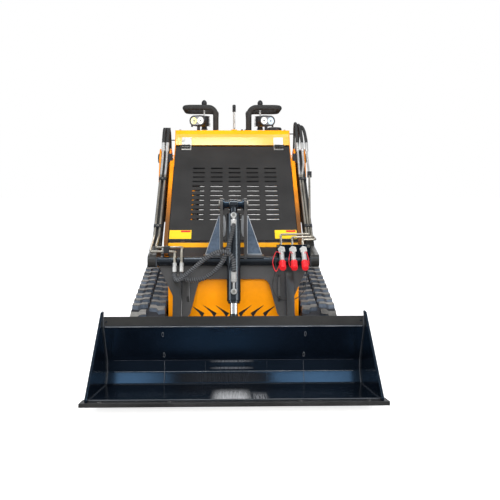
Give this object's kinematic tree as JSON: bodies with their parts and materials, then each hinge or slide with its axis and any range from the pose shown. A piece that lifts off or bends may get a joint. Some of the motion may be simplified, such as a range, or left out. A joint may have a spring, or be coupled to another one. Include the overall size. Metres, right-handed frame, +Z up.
{
  "type": "compact_track_loader",
  "caption": "Stand-on compact track loader in orange and dark grey with a wide black front bucket, steel pipes and wrapped hoses",
  "frame": {"origin": "On the ground under the middle of the machine's overall length and width", "axes": "+X across the machine, +Y from the bucket to the operator's platform, +Z up"},
  "size_m": [1.16, 2.4102, 1.377],
  "materials": {
    "body_orange": "satin orange powder coat",
    "frame_grey": "textured dark grey coat",
    "gloss_black": "gloss black paint",
    "steel": "zinc plated steel",
    "chrome": "polished cylinder rod",
    "track_rubber": "moulded track rubber",
    "hose_rubber": "black hydraulic hose",
    "grip": "matt black grips and handles",
    "cap_red": "red dust caps"
  },
  "bodies": {
    "chassis": {"chassis_frame": "body_orange", "front_panel": "body_orange", "tower_left": "body_orange", "tower_right": "body_orange", "side_panel_left": "body_orange", "side_panel_right": "body_orange", "top_cowl": "body_orange", "lower_cover": "frame_grey", "engine_block": "frame_grey", "hydraulic_tank": "frame_grey", "handle_left": "grip", "handle_right": "grip", "track_frame_left": "frame_grey", "track_frame_right": "frame_grey", "track_belt_left": "track_rubber", "track_belt_right": "track_rubber", "drive_motor_left": "frame_grey", "drive_motor_right": "frame_grey", "lift_hoses_left": "hose_rubber", "lift_hoses_right": "hose_rubber"},
    "lift_arms": {"arm_left": "gloss_black", "arm_right": "gloss_black", "arm_front_frame": "frame_grey", "tilt_pin": "steel", "arm_pipes_left": "steel", "arm_pipes_right": "steel", "coupler_plate": "steel", "dust_caps": "cap_red", "tilt_hose_lower": "hose_rubber", "tilt_hose_upper": "hose_rubber"},
    "bucket": {"bucket_shell": "gloss_black", "bucket_side_left": "gloss_black", "bucket_side_right": "gloss_black", "cutting_edge": "gloss_black", "attach_plate": "gloss_black"},
    "lift_barrel_left": {"lift_barrel_left": "gloss_black"},
    "lift_rod_left": {"lift_rod_left": "chrome"},
    "lift_barrel_right": {"lift_barrel_right": "gloss_black"},
    "lift_rod_right": {"lift_rod_right": "chrome"},
    "tilt_barrel": {"tilt_barrel": "gloss_black"},
    "tilt_rod": {"tilt_rod": "chrome"},
    "latch_left": {"latch_lever_left": "steel"},
    "latch_right": {"latch_lever_right": "steel"},
    "drive_sprocket_left": {"drive_sprocket_left": "steel"},
    "front_idler_left": {"front_idler_left": "steel"},
    "rear_idler_left": {"rear_idler_left": "steel"},
    "track_roller_left_1": {"track_roller_left_1": "steel"},
    "track_roller_left_2": {"track_roller_left_2": "steel"},
    "drive_sprocket_right": {"drive_sprocket_right": "steel"},
    "front_idler_right": {"front_idler_right": "steel"},
    "rear_idler_right": {"rear_idler_right": "steel"},
    "track_roller_right_1": {"track_roller_right_1": "steel"},
    "track_roller_right_2": {"track_roller_right_2": "steel"},
    "hood_door": {"hood_door": "frame_grey"},
    "joystick_left": {"joystick_left": "grip"},
    "lamp_left": {"lamp_left": "frame_grey"},
    "joystick_right": {"joystick_right": "grip"},
    "lamp_right": {"lamp_right": "frame_grey"},
    "centre_lever": {"centre_lever": "grip"},
    "platform": {"platform": "frame_grey"}
  },
  "joints": [
    {"name": "arm_lift", "type": "hinge", "parent": "chassis", "child": "lift_arms", "pos_m": [0, 0.415, 1.01], "axis": [-1, 0, 0], "range_deg": [0, 60], "deforming": ["lift_hoses_left", "lift_hoses_right"]},
    {"name": "lift_barrel_left", "type": "hinge", "parent": "chassis", "child": "lift_barrel_left", "pos_m": [-0.378, 0.535, 0.72], "axis": [-1, 0, 0], "range_deg": [0, 36]},
    {"name": "lift_rod_left", "type": "slide", "parent": "lift_barrel_left", "child": "lift_rod_left", "axis": [0, -0.9986, 0.0526], "range_m": [0, 0.2475]},
    {"name": "lift_barrel_right", "type": "hinge", "parent": "chassis", "child": "lift_barrel_right", "pos_m": [0.378, 0.535, 0.72], "axis": [-1, 0, 0], "range_deg": [0, 36]},
    {"name": "lift_rod_right", "type": "slide", "parent": "lift_barrel_right", "child": "lift_rod_right", "axis": [0, -0.9986, 0.0526], "range_m": [0, 0.2475]},
    {"name": "bucket_tilt", "type": "hinge", "parent": "lift_arms", "child": "bucket", "pos_m": [0, -0.615, 0.14], "axis": [1, 0, 0], "range_deg": [-12, 70]},
    {"name": "tilt_barrel", "type": "hinge", "parent": "lift_arms", "child": "tilt_barrel", "pos_m": [0, -0.441, 0.771], "axis": [1, 0, 0], "range_deg": [-8.8, 1.6], "deforming": ["tilt_hose_lower", "tilt_hose_upper"]},
    {"name": "tilt_rod", "type": "slide", "parent": "tilt_barrel", "child": "tilt_rod", "axis": [0, -0.3003, -0.9539], "range_m": [-0.0155, 0.089]},
    {"name": "latch_left", "type": "hinge", "parent": "bucket", "child": "latch_left", "pos_m": [-0.185, -0.75819, 0.21605], "axis": [0, 0.8724, 0.4888], "range_deg": [0, 90]},
    {"name": "latch_right", "type": "hinge", "parent": "bucket", "child": "latch_right", "pos_m": [0.185, -0.75819, 0.21605], "axis": [0, -0.8724, -0.4888], "range_deg": [0, 90]},
    {"name": "drive_sprocket_left", "type": "hinge", "parent": "chassis", "child": "drive_sprocket_left", "pos_m": [-0.3975, 0.585, 0.335], "axis": [1, 0, 0], "continuous": true},
    {"name": "front_idler_left", "type": "hinge", "parent": "chassis", "child": "front_idler_left", "pos_m": [-0.3975, -0.405, 0.152], "axis": [1, 0, 0], "continuous": true},
    {"name": "rear_idler_left", "type": "hinge", "parent": "chassis", "child": "rear_idler_left", "pos_m": [-0.3975, 0.395, 0.132], "axis": [1, 0, 0], "continuous": true},
    {"name": "track_roller_left_1", "type": "hinge", "parent": "chassis", "child": "track_roller_left_1", "pos_m": [-0.3975, -0.135, 0.0905], "axis": [1, 0, 0], "continuous": true},
    {"name": "track_roller_left_2", "type": "hinge", "parent": "chassis", "child": "track_roller_left_2", "pos_m": [-0.3975, 0.125, 0.0905], "axis": [1, 0, 0], "continuous": true},
    {"name": "drive_sprocket_right", "type": "hinge", "parent": "chassis", "child": "drive_sprocket_right", "pos_m": [0.3975, 0.585, 0.335], "axis": [1, 0, 0], "continuous": true},
    {"name": "front_idler_right", "type": "hinge", "parent": "chassis", "child": "front_idler_right", "pos_m": [0.3975, -0.405, 0.152], "axis": [1, 0, 0], "continuous": true},
    {"name": "rear_idler_right", "type": "hinge", "parent": "chassis", "child": "rear_idler_right", "pos_m": [0.3975, 0.395, 0.132], "axis": [1, 0, 0], "continuous": true},
    {"name": "track_roller_right_1", "type": "hinge", "parent": "chassis", "child": "track_roller_right_1", "pos_m": [0.3975, -0.135, 0.0905], "axis": [1, 0, 0], "continuous": true},
    {"name": "track_roller_right_2", "type": "hinge", "parent": "chassis", "child": "track_roller_right_2", "pos_m": [0.3975, 0.125, 0.0905], "axis": [1, 0, 0], "continuous": true},
    {"name": "hood_door", "type": "hinge", "parent": "chassis", "child": "hood_door", "pos_m": [0, 0.386, 1.081], "axis": [-1, 0, 0], "range_deg": [0, 75]},
    {"name": "joystick_left", "type": "hinge", "parent": "chassis", "child": "joystick_left", "pos_m": [-0.171, 0.755, 1.192], "axis": [1, 0, 0], "range_deg": [-15, 15], "stiffness_Nm_per_rad": 2},
    {"name": "lamp_left", "type": "hinge", "parent": "chassis", "child": "lamp_left", "pos_m": [-0.2, 0.595, 1.1713], "axis": [0, 0, 1], "range_deg": [-40, 40]},
    {"name": "joystick_right", "type": "hinge", "parent": "chassis", "child": "joystick_right", "pos_m": [0.171, 0.755, 1.192], "axis": [1, 0, 0], "range_deg": [-15, 15], "stiffness_Nm_per_rad": 2},
    {"name": "lamp_right", "type": "hinge", "parent": "chassis", "child": "lamp_right", "pos_m": [0.2, 0.595, 1.1713], "axis": [0, 0, 1], "range_deg": [-40, 40]},
    {"name": "centre_lever", "type": "hinge", "parent": "chassis", "child": "centre_lever", "pos_m": [0.011, 0.665, 1.181], "axis": [1, 0, 0], "range_deg": [-20, 20]},
    {"name": "platform", "type": "hinge", "parent": "chassis", "child": "platform", "pos_m": [0, 0.857, 0.21], "axis": [1, 0, 0], "range_deg": [0, 85]}
  ],
  "couplings": [
    {"joint": "lift_barrel_left", "follows": "arm_lift", "ratio": 0.591},
    {"joint": "lift_rod_left", "follows": "arm_lift", "m_per_rad": 0.23542},
    {"joint": "lift_barrel_right", "follows": "arm_lift", "ratio": 0.591},
    {"joint": "lift_rod_right", "follows": "arm_lift", "m_per_rad": 0.23542},
    {"joint": "tilt_barrel", "follows": "bucket_tilt", "ratio": -0.12457},
    {"joint": "tilt_rod", "follows": "bucket_tilt", "m_per_rad": 0.072316},
    {"joint": "front_idler_left", "follows": "drive_sprocket_left", "ratio": 0.93722},
    {"joint": "rear_idler_left", "follows": "drive_sprocket_left", "ratio": 1.1421},
    {"joint": "track_roller_left_1", "follows": "drive_sprocket_left", "ratio": 2.09},
    {"joint": "track_roller_left_2", "follows": "drive_sprocket_left", "ratio": 2.09},
    {"joint": "front_idler_right", "follows": "drive_sprocket_right", "ratio": 0.93722},
    {"joint": "rear_idler_right", "follows": "drive_sprocket_right", "ratio": 1.1421},
    {"joint": "track_roller_right_1", "follows": "drive_sprocket_right", "ratio": 2.09},
    {"joint": "track_roller_right_2", "follows": "drive_sprocket_right", "ratio": 2.09}
  ]
}
